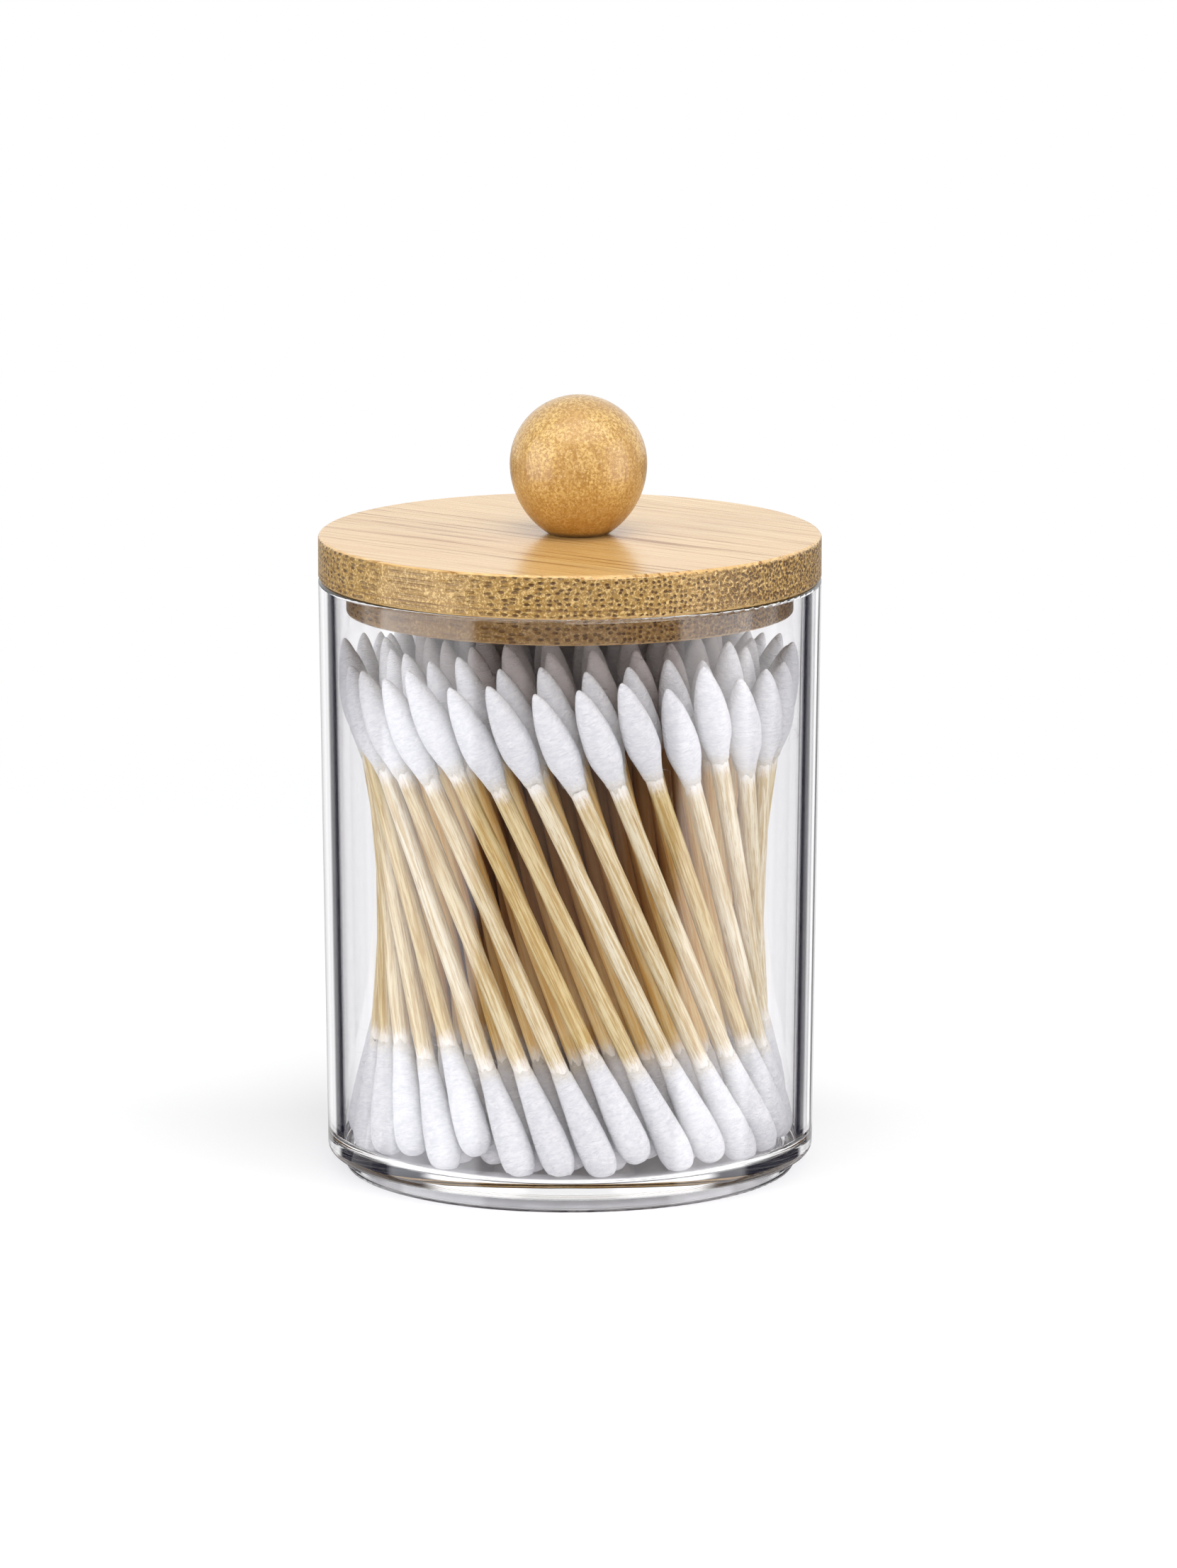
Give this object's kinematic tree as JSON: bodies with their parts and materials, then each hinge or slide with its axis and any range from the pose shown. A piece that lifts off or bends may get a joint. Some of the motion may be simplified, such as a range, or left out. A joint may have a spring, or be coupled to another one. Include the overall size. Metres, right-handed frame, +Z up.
{
  "type": "cotton swab jar",
  "caption": "Clear round counter-top jar of double-ended cotton swabs with a drop-in bamboo lid and a wooden ball knob.",
  "frame": {"origin": "on the table, at the middle of the jar's foot ring, on the jar's axis", "axes": "+Z up along the jar's axis; -Y is the front of the picture; +X to its right"},
  "size_m": [0.07, 0.07, 0.1089],
  "materials": {
    "clear_plastic": "polished, water clear",
    "lid_bamboo": "satin lacquer",
    "knob_wood": "satin lacquer",
    "screw_steel": "zinc plated",
    "stick_bamboo": "plain, unlacquered",
    "cotton": "wound cotton fibre"
  },
  "bodies": {
    "jar": {"jar": "clear_plastic", "row_1_sticks": "stick_bamboo", "row_1_pointed_buds": "cotton", "row_1_round_buds": "cotton", "row_2_sticks": "stick_bamboo", "row_2_pointed_buds": "cotton", "row_2_round_buds": "cotton", "row_3_sticks": "stick_bamboo", "row_3_pointed_buds": "cotton", "row_3_round_buds": "cotton", "row_4_sticks": "stick_bamboo", "row_4_pointed_buds": "cotton", "row_4_round_buds": "cotton", "row_5_sticks": "stick_bamboo", "row_5_pointed_buds": "cotton", "row_5_round_buds": "cotton"},
    "lid": {"lid": "lid_bamboo", "knob": "knob_wood", "knob_screw": "screw_steel"}
  },
  "joints": [
    {"name": "lid_lift", "type": "slide", "parent": "jar", "child": "lid", "axis": [0, 0, 1], "range_m": [0, 0.08]}
  ]
}
